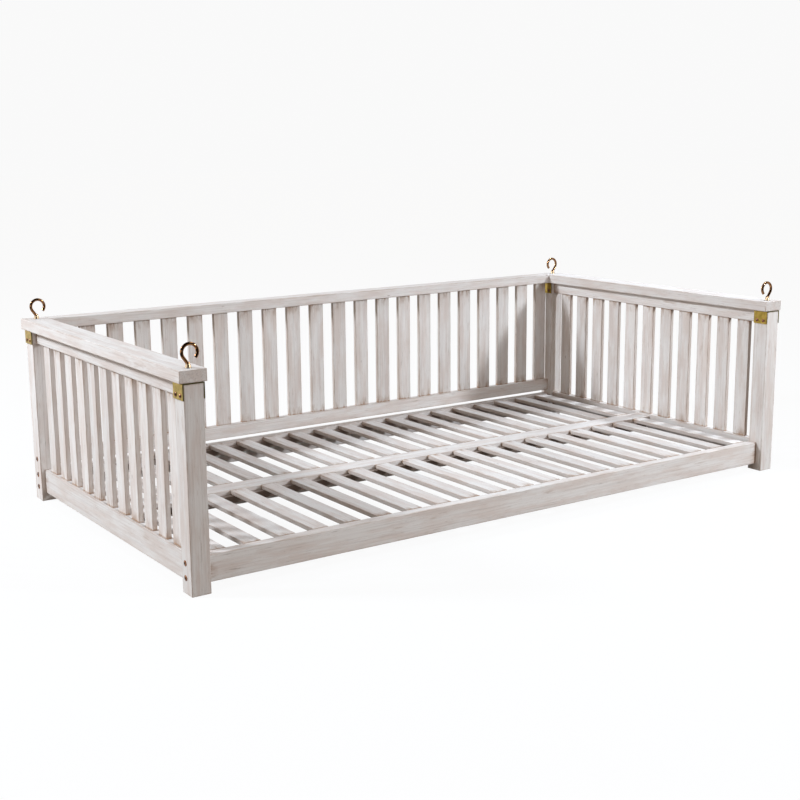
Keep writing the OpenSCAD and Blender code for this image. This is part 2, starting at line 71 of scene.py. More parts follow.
ZINC_FIXINGS = ["hook_washers", "saddle_nuts", "barrel_nuts", "cap_screws", "ledger_screws", "slat_screws"]
DOWELS = ["rail_dowels", "cap_dowels"]

SAME_POINT = 0.000004  # points of a mesh nearer than this, in metres, are one
FREE_END = -1.0  # how much of a board's ends is in a joint, where its ends meet nothing: no painted joint shade and no dust near them

# each board's own number, from 0 to 1, steps on by a share that never falls into a short cycle
POST_TONES, RAIL_TONES, BEARER_TONES = (0.137, 0.377), (0.291, 0.417), (0.613, 0.271)


# ---------------------------------------------------------------- helpers


def linear(hex_colour):
    """An sRGB hex colour as the linear red, green, blue and alpha that Blender's sockets hold."""
    parts = [int(hex_colour[i : i + 2], 16) / 255 for i in (1, 3, 5)]
    return tuple(p / 12.92 if p <= 0.04045 else ((p + 0.055) / 1.055) ** 2.4 for p in parts) + (1.0,)


def add_node(tree, kind, given=(), **settings):
    """Adds one node with its settings. Its inputs are given in order, or by their names or numbers. Each
    takes a value, a link or a node, which stands for its first output in use. One that joins takes a list."""
    made = tree.nodes.new(kind)
    for key, value in settings.items():
        setattr(made, key, value)
    for key, values in given.items() if isinstance(given, dict) else enumerate(given):
        for value in values if isinstance(values, list) else [values]:
            if isinstance(value, bpy.types.Node):
                value = next(output for output in value.outputs if output.enabled)
            if isinstance(value, bpy.types.NodeSocket):
                tree.links.new(value, made.inputs[key])
            else:
                made.inputs[key].default_value = value
    return made


def new_object(name, mesh):
    made = bpy.data.objects.new(name, mesh)
    bpy.context.scene.collection.objects.link(made)
    return made


def size_and_centre(node):
    """A CAD node's size and the middle of its box, in metres."""
    low, high = (Vector(corner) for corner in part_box(node))
    return high - low, (high + low) / 2


def board_axes(size):
    """The axes of a board in the order length, width, thickness."""
    return sorted(range(3), key=lambda axis: -size[axis])


def turn_for(axes):
    """The rotation that lays a board made along X, with its width along Y, onto these axes."""
    length, width, _ = axes
    turn = Matrix.Identity(3)
    turn.col[0] = [float(i == length) for i in range(3)]
    turn.col[1] = [float(i == width) for i in range(3)]
    turn.col[2] = turn.col[0].cross(turn.col[1])
    return turn.to_euler()


def tone_of(tones, i):
    """The own number of the board in place i of its list."""
    first, step = tones
    return (first + step * i) % 1


def soften(mesh, degrees=32):
    """Smooth faces, with an edge kept sharp where two faces meet at more than this angle."""
    mesh.polygons.foreach_set("use_smooth", [True] * len(mesh.polygons))
    mesh.set_sharp_from_angle(angle=math.radians(degrees))


def flat_shading_kept(obj):
    """Keeps the broad faces flat in shade beside their rounded edges."""
    weighted = obj.modifiers.new("broad_faces_flat", "WEIGHTED_NORMAL")
    weighted.keep_sharp = True
    return obj


def finished(obj, body, nodes):
    """Hands a finished piece to the frame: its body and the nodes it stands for."""
    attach(obj, body)
    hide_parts(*nodes)
    return obj


def paint_node(node, material):
    """Gives a CAD node that keeps its own shape a finish."""
    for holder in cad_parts[node].material_slots:
        holder.material = material


# ---------------------------------------------------------------- materials


def open_material(name):
    """A new material with an empty tree, and the function that adds nodes to that tree."""
    made = bpy.data.materials.new(name)
    made.use_nodes = True
    made.node_tree.nodes.clear()
    return made, partial(add_node, made.node_tree)


def whitewashed_pine():
    """White-washed planed pine: a thin milky wash over close grain. It lies cool and grey where it is thick,
    lets the pinkish wood through where it is thin, and is rubbed off along the edges. Painted shade darkens a
    line along each joint and the ledgers under the deck."""
    chosen = bpy.context.scene.swing_bed_finish
    wash, thin_wash, grain, bare, dark = (
        linear(colour) for colour in (chosen.wash, chosen.thin_wash, chosen.grain, chosen.bare, chosen.knot)
    )
    made, add = open_material("whitewashed_pine")
    place, half, tone, under_deck_shade, hidden = (
        add("ShaderNodeAttribute", attribute_name="board_" + name).outputs[output]
        for name, output in (
            ("place", "Vector"),  # where the point lies in its board: along it, across it and through it
            ("half", "Vector"),  # half the board's length, width and thickness
            ("tone", "Fac"),  # the board's own number from 0 to 1
            ("bare", "Fac"),  # 1 on the ledgers under the deck, painted dark for the shade there
            ("hidden", "Fac"),  # how much of each end is inside a joint, or FREE_END
        )
    )

    # every board is cut from its own stretch of tree
    apart = [add("ShaderNodeMath", (tone, metres), operation="MULTIPLY") for metres in (53.0, 17.0, 7.0)]
    apart = add("ShaderNodeCombineXYZ", apart)
    spot = add("ShaderNodeVectorMath", (place, apart), operation="ADD")

    def cloudy(along, across, detail, rough=0.55):
        """Noise whose patches are so many millimetres along the grain and across it."""
        scale = (1000 / along, 1000 / across, 1000 / across)
        moved = add("ShaderNodeMapping", {"Vector": spot, "Scale": scale})
        fineness = {"Scale": 1.0, "Detail": detail, "Roughness": rough}
        return add("ShaderNodeTexNoise", {"Vector": moved, **fineness})

    def patches(low, high, *noise):
        """The places where such noise passes from low to high, as a slope from 0 to 1."""
        return add("ShaderNodeMapRange", {"Value": cloudy(*noise), "From Min": low, "From Max": high})

    thin = patches(0.42, 0.60, 150, 26, 6.0, 0.62)  # where the wash is thin
    worn = patches(0.64, 0.76, 150, 30, 5.0, 0.6)  # brown patches, one or two to a board
    streak = patches(0.50, 0.68, 300, 4.5, 6.0, 0.7)  # darker streaks 3 to 5 mm wide
    pore = patches(0.60, 0.70, 34, 2.6, 4.0, 0.7)  # open pores, drawn 2 mm wide to show
    check = patches(0.61, 0.70, 80, 5.0, 5.0, 0.78)  # fine drying checks, drawn 4 mm wide to show
    handled = patches(0.38, 0.60, 70, 14, 3.0)  # the stretches of an edge where the wash is rubbed off
    dusty = patches(0.46, 0.62, 60, 18, 4.0, 0.7)  # brown dust in patches
    planed = cloudy(90, 1.6, 3.0)  # fine planed fibres, 1 to 2 mm apart

    # growth rings 6 mm apart about a pith that lies below the board and wanders along it
    ring_gap = 0.006
    aside = add("ShaderNodeMath", (tone, 0.09, -0.045), operation="MULTIPLY_ADD")
    below = add("ShaderNodeMath", (tone, 7.3), operation="MULTIPLY")
    below = add("ShaderNodeMath", (below,), operation="FRACT")
    below = add("ShaderNodeMath", (below, -0.05, -0.012), operation="MULTIPLY_ADD")
    pith = add("ShaderNodeCombineXYZ", {"Y": aside, "Z": below})
    squat = add("ShaderNodeVectorMath", (place, (0.02, 1.0, 1.0)), operation="MULTIPLY")
    away = add("ShaderNodeVectorMath", (squat, pith), operation="DISTANCE")
    turns = add("ShaderNodeMath", (away, 2 * math.pi / ring_gap), operation="MULTIPLY")
    turns = add("ShaderNodeMath", (cloudy(450, 110, 2.0), 26.0, turns), operation="MULTIPLY_ADD")
    rings = add("ShaderNodeMath", (turns,), operation="SINE")
    rings = add("ShaderNodeMath", (rings, 0.5, 0.5), operation="MULTIPLY_ADD")
    rings = add("ShaderNodeMath", (rings, 2.2), operation="POWER")

    def spots(spacing, across, share):
        """Dark spots this many millimetres apart and across, three times as long, in this share of places."""
        scale = (1000 / (3 * spacing), 1000 / spacing, 1000 / spacing)
        cells = add("ShaderNodeMapping", {"Vector": spot, "Scale": scale})
        cells = add("ShaderNodeTexVoronoi", {"Vector": cells, "Scale": 1.0})
        chance = add("ShaderNodeSeparateXYZ", (cells.outputs["Color"],))
        left = add("ShaderNodeMath", (chance, share), operation="LESS_THAN")
        middle, rim = 0.2 * across / spacing, 0.5 * across / spacing
        fade = {"Value": cells, "From Min": middle, "From Max": rim, "To Min": 1.0, "To Max": 0.0}
        return add("ShaderNodeMath", (add("ShaderNodeMapRange", fade), left), operation="MULTIPLY")

    # knots, and bark flecks between them
    knot = add("ShaderNodeMath", (spots(85, 14, 0.2), spots(26, 5, 0.10)), operation="MAXIMUM")

    # how far a point is below each face of its board, and from its nearest edge: the middle of the three
    inside = add("ShaderNodeVectorMath", (place,), operation="ABSOLUTE")
    inside = add("ShaderNodeVectorMath", (half, inside), operation="SUBTRACT")
    from_end, from_side, from_face = add("ShaderNodeSeparateXYZ", (inside,)).outputs
    nearer, farther = (
        add("ShaderNodeMath", (from_end, from_side), operation=which) for which in ("MINIMUM", "MAXIMUM")
    )
    farther = add("ShaderNodeMath", (farther, from_face), operation="MINIMUM")
    from_edge = add("ShaderNodeMath", (nearer, farther), operation="MAXIMUM")
    # a dark line along each joint where a board's end goes in is painted contact shade; beside it lies a
    # little dust in patches
    out_of_joint = add("ShaderNodeMath", (from_end, hidden), operation="SUBTRACT")
    slope = ("Value", "From Min", "From Max", "To Min", "To Max")
    rubbed, joint_shade_line, dust = (
        add("ShaderNodeMapRange", dict(zip(slope, values)))
        for values in (
            (from_edge, 0.0006, 0.0042, 1.0, 0.0),
            (out_of_joint, 0.002, 0.005, 0.7, 0.0),
            (out_of_joint, 0.004, 0.03, 1.0, 0.0),
        )
    )
    rubbed = add("ShaderNodeMath", (rubbed, handled), operation="MULTIPLY")
    joint_shade_and_dust = add("ShaderNodeMath", (dust, dusty, joint_shade_line), operation="MULTIPLY_ADD")

    # the slats' sawn sides are browner than their faces, and end grain drinks up its streaks
    thickness = add("ShaderNodeSeparateXYZ", (half,)).outputs["Z"]
    on_side, is_slat, end_grain = (
        add("ShaderNodeMath", limit, operation="LESS_THAN")
        for limit in ((from_side, 0.0008), (thickness, 0.011), (from_end, 0.0004))
    )
    sawn = add("ShaderNodeMath", (on_side, is_slat), operation="MULTIPLY")
    ends = add("ShaderNodeMath", (streak, 2.0, 1.0), operation="MULTIPLY_ADD")
    ends = add("ShaderNodeMath", (ends, end_grain), operation="MULTIPLY")
    open_wood = add("ShaderNodeMath", (sawn, 0.22 / 0.38, pore), operation="MULTIPLY_ADD")

    body = wash
    for pattern, share, colour in (
        (thin, 0.8, thin_wash),
        (rings, 0.10, grain),
        (streak, 0.38, grain),
        (worn, 0.5, bare),
        (open_wood, 0.38, bare),
        (ends, 0.2, grain),
        (rubbed, 0.5, bare),
        # the painted contact shade along each joint, with the dust beside it
        (joint_shade_and_dust, 0.85, bare),
        (check, 0.45, dark),
        (knot, 0.55, dark),
        # painted shade: the ledgers under the deck drawn dark, nearly in the knot colour
        (under_deck_shade, 0.85, dark),
    ):
        share = add("ShaderNodeMath", (pattern, share), operation="MULTIPLY", use_clamp=True)
        body = add("ShaderNodeMix", {"Factor": share, "A": body, "B": colour}, data_type="RGBA")
    # no two boards are quite as light
    shade = add("ShaderNodeMath", (tone, 0.12, 0.94), operation="MULTIPLY_ADD")
    shaded = {"Factor": 1.0, "A": body, "B": shade}
    body = add("ShaderNodeMix", shaded, data_type="RGBA", blend_type="MULTIPLY")

    height = add("ShaderNodeMath", (rings, 0.2), operation="MULTIPLY")
    height = add("ShaderNodeMath", (planed, 0.5, height), operation="MULTIPLY_ADD")
    height = add("ShaderNodeMath", (pore, -0.7, height), operation="MULTIPLY_ADD")
    shader = add(
        "ShaderNodeBsdfPrincipled",
        {
            "Base Color": body,
            "Roughness": add("ShaderNodeMath", (planed, 0.2, 0.5), operation="MULTIPLY_ADD"),
            "Specular IOR Level": 0.3,
            "Normal": add("ShaderNodeBump", {"Height": height, "Strength": 0.4, "Distance": 0.0005}),
        },
    )
    add("ShaderNodeOutputMaterial", {"Surface": shader})
    return made


def cut_edges(add):
    """1 on the cut edges of a saddle's strip, which face along Y."""
    facing = add("ShaderNodeSeparateXYZ", (add("ShaderNodeTexCoord").outputs["Normal"],)).outputs["Y"]
    facing = add("ShaderNodeMath", (facing,), operation="ABSOLUTE")
    return add("ShaderNodeMath", (facing, 0.8), operation="GREATER_THAN")


def shoulder_highlight(add):
    """0.8 on a hook's shoulder, which is screwed down onto its cap, and 0 on the bar above it: there the
    finish carries a painted reflection, paler and duller.
    """
    cap_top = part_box("cap_left")[1][2]
    height = add("ShaderNodeSeparateXYZ", (add("ShaderNodeTexCoord").outputs["Object"],)).outputs["Z"]
    limits = {"From Min": cap_top + 0.008, "From Max": cap_top + 0.012, "To Min": 0.8, "To Max": 0.0}
    return add("ShaderNodeMapRange", {"Value": height, **limits})


BLOTCH_MM = 100 / 7  # the two tones of a fitting lie in blotches about 14 mm apart
FITTINGS = {
    # folded strip, zinc plated and yellow passivated: olive gold with a soft sheen, darker on its cut edges
    "yellow_zinc_steel": dict(
        light="#c9ab58",
        dark="#a08840",
        roughness=0.34,
        grit_mm=0.5,
        bump=0.15,
        accent=cut_edges,
        hue="#6b654a",
    ),
    # bent round bar, polished and bronzed: near black with warm golden edges; its shoulder is paler and
    # duller, a painted reflection
    "bronzed_steel": dict(
        light="#a87a50",
        dark="#6e4a2e",
        roughness=0.11,
        grit_mm=0.4,
        bump=0.03,
        accent=shoulder_highlight,
        hue="#cfb592",
        dulled=0.4,
    ),
    # screws plated a coppery yellow, with painted shade in their recess
    "copper_zinc_steel": dict(light="#b07c60", dark="#62402f", roughness=0.26, grit_mm=0.3, bump=0.08),
    # turned bolt head with a dark bronze oxide
    "dark_bolt_steel": dict(light="#a97a5a", dark="#664636", roughness=0.3, grit_mm=0.4, bump=0.1),
    # clear zinc plating on screws, nuts and washers: pale grey
    "bright_zinc_steel": dict(light="#c9c9c6", dark="#9a9a96", roughness=0.32, grit_mm=0.3, bump=0.08),
    # turned beech, pale and close grained
    "beech_dowel": dict(light="#d9b48a", dark="#c39a6c", roughness=0.6, grit_mm=0.6, bump=0.1, metallic=0.0),
}


def fitting(name, light, dark, roughness, grit_mm, bump, metallic=1.0, accent=None, hue=None, dulled=0.0):
    """A small fitting's finish: two close tones in blotches, fine grit and a soft sheen. An accent is a part
    of the fitting that has its own hue and may be duller, such as a saddle's cut edges, or a hook's shoulder,
    whose paler hue is a painted reflection."""
    made, add = open_material(name)
    where = add("ShaderNodeTexCoord").outputs["Object"]
    blotches = {"Vector": where, "Scale": 1000 / BLOTCH_MM, "Detail": 4.0, "Roughness": 0.6}
    blotch = add("ShaderNodeTexNoise", blotches)
    blotch = add("ShaderNodeMapRange", {"Value": blotch, "From Min": 0.35, "From Max": 0.65})
    tones = {"Factor": blotch, "A": linear(dark), "B": linear(light)}
    colour = add("ShaderNodeMix", tones, data_type="RGBA")
    # painted shade: the recess that a key goes into is drawn nearly black
    recess = add("ShaderNodeAttribute", attribute_name="recess").outputs["Fac"]
    colour = add("ShaderNodeMix", {"Factor": recess, "A": colour, "B": linear("#2a1c14")}, data_type="RGBA")
    grit = add("ShaderNodeTexNoise", {"Vector": where, "Scale": 1000 / grit_mm, "Detail": 2.0})
    rough = add("ShaderNodeMapRange", {"Value": grit, "To Min": roughness * 0.7, "To Max": roughness * 1.3})
    if accent:
        share = accent(add)
        colour = add("ShaderNodeMix", {"Factor": share, "A": colour, "B": linear(hue)}, data_type="RGBA")
        rough = add("ShaderNodeMath", (share, dulled, rough), operation="MULTIPLY_ADD")
    bumped = add("ShaderNodeBump", {"Height": grit, "Strength": bump, "Distance": 0.0002})
    shader = add(
        "ShaderNodeBsdfPrincipled",
        {"Base Color": colour, "Metallic": metallic, "Roughness": rough, "Normal": bumped},
    )
    add("ShaderNodeOutputMaterial", {"Surface": shader})
    return made


def material(name):
    """The finish of this name, made once."""
    if name in bpy.data.materials:
        return bpy.data.materials[name]
    return whitewashed_pine() if name == "whitewashed_pine" else fitting(name, **FITTINGS[name])


# ---------------------------------------------------------------- settings


class SwingBedSizes(bpy.types.PropertyGroup):
    side_slats: IntProperty(name="Side slats", description="Upright slats in each side", default=11, min=2)
    back_slats: IntProperty(name="Back slats", description="Upright slats along the back", default=22, min=2)
    deck_slats: IntProperty(name="Deck slats", description="Slats in each row of the deck", default=20, min=2)
    side_slat_width: FloatProperty(
        name="Side slat width", description="Width of a side slat", default=0.048, unit="LENGTH"
    )
    back_slat_width: FloatProperty(
        name="Back slat width", description="Width of a back slat", default=0.0485, unit="LENGTH"
    )
    deck_slat_width: FloatProperty(
        name="Deck slat width", description="Width of a deck slat", default=0.045, unit="LENGTH"
    )
    edge: FloatProperty(
        name="Eased edge", description="Radius sanded onto a slat's long edges", default=0.002, unit="LENGTH"
    )


class SwingBedFinish(bpy.types.PropertyGroup):
    wash: StringProperty(
        name="Wash", description="The wash where it lies thick, as an sRGB hex colour", default="#dcd9d6"
    )
    thin_wash: StringProperty(
        name="Thin wash",
        description="The wash over the pinkish wood, as an sRGB hex colour",
        default="#d0c5be",
    )
    grain: StringProperty(
        name="Grain", description="Growth rings and streaks, as an sRGB hex colour", default="#aba19b"
    )
    # bare wood is also the colour of the painted contact shade along the joints
    bare: StringProperty(
        name="Bare wood",
        description="Wood where the wash is rubbed off, as an sRGB hex colour",
        default="#a08672",
    )
    # the knot colour is also the painted shade on the ledgers under the deck
    knot: StringProperty(name="Knot", description="Knots, as an sRGB hex colour", default="#6a5546")


# ---------------------------------------------------------------- boards


def mark_board(mesh, centre, size, tone, bare, hidden):
    """Writes on each point where it lies in its board, length first, for the grain to follow."""
    axes = board_axes(size)
    places, halves, count = [], [], len(mesh.vertices)
    for vertex in mesh.vertices:
        at = vertex.co - centre
        places += [at[axis] for axis in axes]
        halves += [size[axis] / 2 for axis in axes]
    for name, kind, field, values in (
        ("board_place", "FLOAT_VECTOR", "vector", places),
        ("board_half", "FLOAT_VECTOR", "vector", halves),
        ("board_tone", "FLOAT", "value", [tone] * count),
        # board_bare is 1 on the ledgers, which are painted dark for the shade under the deck
        ("board_bare", "FLOAT", "value", [bare] * count),
        ("board_hidden", "FLOAT", "value", [hidden] * count),
    ):
        mesh.attributes.new(name, kind, "POINT").data.foreach_set(field, values)


def dress_board(node, tone, bare=0.0, hidden=FREE_END):
    """One solid board with its mortises and holes, its faces joined up and its grain laid along it."""
    size, centre = size_and_centre(node)
    work = bmesh.new()
    work.from_mesh(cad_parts[node].data)
    bmesh.ops.remove_doubles(work, verts=work.verts, dist=SAME_POINT)
    mesh = bpy.data.meshes.new(node + "_board")
    work.to_mesh(mesh)
    work.free()
    mesh.materials.clear()
    mesh.materials.append(material("whitewashed_pine"))
    for face in mesh.polygons:
        face.material_index = 0
    soften(mesh)
    mark_board(mesh, centre, size, tone, bare, hidden)
    return finished(flat_shading_kept(new_object(node + "_board", mesh)), "frame", [node])


def open_tree(name, inputs):
    """An empty geometry nodes tree with these named inputs, the function that adds nodes to it, and those
    inputs."""
    tree = bpy.data.node_groups.new(name, "GeometryNodeTree")
    for label, kind, default in inputs:
        socket = tree.interface.new_socket(label, in_out="INPUT", socket_type="NodeSocket" + kind)
        if default is not None:
            socket.default_value = default
    tree.interface.new_socket("Geometry", in_out="OUTPUT", socket_type="NodeSocketGeometry")
    add = partial(add_node, tree)
    return tree, add, add("NodeGroupInput").outputs


def close_tree(add, instances, finish):
    """Ends a tree: its instances are made real and painted."""
    solid = add("GeometryNodeRealizeInstances", {"Geometry": instances})
    painted = add("GeometryNodeSetMaterial", {"Geometry": solid, "Material": finish})
    add("NodeGroupOutput", (painted,))


def slat_tree():
    """Geometry nodes for a straight row of like slats with eased long edges."""
    if "slat_row" in bpy.data.node_groups:
        return bpy.data.node_groups["slat_row"]
    tree, add, given = open_tree(
        "slat_row",
        (
            ("Slats", "Int", 2),
            ("Length", "Float", 0.4),
            ("Width", "Float", 0.05),
            ("Thickness", "Float", 0.013),
            ("Edge", "Float", 0.002),
            ("First", "Vector", (0, 0, 0)),
            ("Step", "Vector", (0.1, 0, 0)),
            ("Turn", "Vector", (0, 0, 0)),
            ("Hidden", "Float", 0.0),
            ("Seed", "Int", 1),
            ("Finish", "Material", None),
        ),
    )

    # the slat's section, drawn flat and stood up across X, then drawn out along X
    flat = {"Width": given["Thickness"], "Height": given["Width"]}
    section = add("GeometryNodeCurvePrimitiveQuadrilateral", flat)
    rounding = {"Curve": section, "Count": 4, "Radius": given["Edge"]}
    section = add("GeometryNodeFilletCurve", rounding, mode="POLY")
    face = add("GeometryNodeFillCurve", {"Curve": section}, mode="NGONS")
    start = add("ShaderNodeMath", (given["Length"], -0.5), operation="MULTIPLY")
    start = add("ShaderNodeCombineXYZ", {"X": start})
    upright = {"Geometry": face, "Rotation": (0, -math.pi / 2, 0), "Translation": start}
    back = add("GeometryNodeTransform", upright)
    front = add("GeometryNodeFlipFaces", {"Mesh": back})
    run = {"Mesh": front, "Offset Scale": given["Length"], "Individual": False}
    drawn = add("GeometryNodeExtrudeMesh", run)
    closed = add("GeometryNodeJoinGeometry", {"Geometry": [drawn, back]})
    slat = add("GeometryNodeMergeByDistance", {"Geometry": closed, "Distance": 0.00001})

    # each point remembers where it lies in its slat, for the grain
    half = add("ShaderNodeCombineXYZ", (given["Length"], given["Width"], given["Thickness"]))
    half = add("ShaderNodeVectorMath", {0: half, "Scale": 0.5}, operation="SCALE")
    for name, kind, value in (
        ("board_place", "FLOAT_VECTOR", add("GeometryNodeInputPosition")),
        ("board_half", "FLOAT_VECTOR", half),
        ("board_hidden", "FLOAT", given["Hidden"]),
    ):
        kept = {"Geometry": slat, "Name": name, "Value": value}
        slat = add("GeometryNodeStoreNamedAttribute", kept, data_type=kind, domain="POINT")

    row = {"Count": given["Slats"], "Start Location": given["First"], "Offset": given["Step"]}
    row = add("GeometryNodeMeshLine", row)
    turn = add("FunctionNodeEulerToRotation", (given["Turn"],))
    slats = add("GeometryNodeInstanceOnPoints", {"Points": row, "Instance": slat, "Rotation": turn})
    draw = {"Seed": given["Seed"], "ID": add("GeometryNodeInputIndex")}
    chance = add("FunctionNodeRandomValue", draw, data_type="FLOAT")
    kept = {"Geometry": slats, "Name": "board_tone", "Value": chance}
    slats = add("GeometryNodeStoreNamedAttribute", kept, data_type="FLOAT", domain="INSTANCE")
    close_tree(add, slats, given["Finish"])
    return tree


def grow(name, tree, start=None, **inputs):
    """Runs a geometry nodes tree with these named inputs and returns its result as a plain object."""
    carrier = new_object(name, start or bpy.data.meshes.new(name))
    modifier = carrier.modifiers.new("grow", "NODES")
    modifier.node_group = tree
    for item in tree.interface.items_tree:
        if item.in_out == "INPUT" and item.name in inputs:
            modifier[item.identifier] = inputs[item.name]
    depsgraph = bpy.context.evaluated_depsgraph_get()
    grown = carrier.evaluated_get(depsgraph)
    mesh = bpy.data.meshes.new_from_object(grown, preserve_all_data_layers=True, depsgraph=depsgraph)
    carrier.modifiers.clear()
    carrier.data = mesh
    if not mesh.polygons:
        raise RuntimeError(name + " came out empty")
    return carrier


def slat_row(node, slats, width, row_axis, seed, hidden=0.0):
    """A row of slats standing where the CAD row stands, evenly spaced along one axis. So much of each end is
    hidden in its mortise."""
    size, centre = size_and_centre(node)
    one = Vector(size)
    one[row_axis] = width
    axes = board_axes(one)
    first, step = Vector(centre), Vector((0, 0, 0))
    first[row_axis] = centre[row_axis] - size[row_axis] / 2 + width / 2
    step[row_axis] = (size[row_axis] - width) / (slats - 1)
    made = grow(
        node + "_eased",
        slat_tree(),
        Slats=slats,
        Length=one[axes[0]],
        Width=one[axes[1]],
        Thickness=one[axes[2]],
        Edge=bpy.context.scene.swing_bed_sizes.edge,
        First=first,
        Step=step,
        Turn=turn_for(axes),
        Hidden=hidden,
        Seed=seed,
        Finish=material("whitewashed_pine"),
    )
    soften(made.data)
    return finished(flat_shading_kept(made), "frame", [node])


class SWINGBED_OT_posts(bpy.types.Operator):
    """Dresses the four posts and the three boards that cap them"""

    bl_idname = "swing_bed.posts"
    bl_label = "Posts and Caps"

    def execute(self, context):
        for i, node in enumerate(POSTS + CAPS):
            dress_board(node, tone_of(POST_TONES, i))
        return {"FINISHED"}


class SWINGBED_OT_rails(bpy.types.Operator):
    """Dresses the rails of the sides, the back and the front"""

    bl_idname = "swing_bed.rails"
    bl_label = "Rails"

    def execute(self, context):
        for i, node in enumerate(RAILS):
            dress_board(node, tone_of(RAIL_TONES, i), hidden=0.0)
        return {"FINISHED"}


class SWINGBED_OT_bearers(bpy.types.Operator):
    """Dresses the centre beam and the ledgers that the deck rests on"""

    bl_idname = "swing_bed.bearers"
    bl_label = "Beam and Ledgers"

    def execute(self, context):
        for i, node in enumerate(BEARERS):
            # the ledgers are painted dark for the shade under the deck
            bare = 1.0 if node.startswith("ledger") else 0.0
            dress_board(node, tone_of(BEARER_TONES, i), bare, hidden=0.0)
        return {"FINISHED"}


class SWINGBED_OT_side_slats(bpy.types.Operator):
    """Makes the upright slats of both sides"""

    bl_idname = "swing_bed.side_slats"
    bl_label = "Side Slats"

    def execute(self, context):
        sizes = context.scene.swing_bed_sizes
        in_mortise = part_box("side_slats_left")[1][2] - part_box("upper_rail_left")[0][2]
        for node, seed in (("side_slats_left", 3), ("side_slats_right", 8)):
            slat_row(node, sizes.side_slats, sizes.side_slat_width, 1, seed, in_mortise)
        return {"FINISHED"}


class SWINGBED_OT_back_slats(bpy.types.Operator):
    """Makes the upright slats of the back"""

    bl_idname = "swing_bed.back_slats"
    bl_label = "Back Slats"

    def execute(self, context):
        sizes = context.scene.swing_bed_sizes
        in_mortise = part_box("back_bottom_rail")[1][2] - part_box("back_slats")[0][2]
        slat_row("back_slats", sizes.back_slats, sizes.back_slat_width, 0, 5, in_mortise)
        return {"FINISHED"}


class SWINGBED_OT_deck(bpy.types.Operator):
    """Makes the two rows of slats that the mattress lies on"""

    bl_idname = "swing_bed.deck"
    bl_label = "Deck Slats"

    def execute(self, context):
        sizes = context.scene.swing_bed_sizes
        for node, seed in (("deck_slats_front", 13), ("deck_slats_back", 21)):
            slat_row(node, sizes.deck_slats, sizes.deck_slat_width, 0, seed)
        return {"FINISHED"}


# ---------------------------------------------------------------- screw and bolt heads


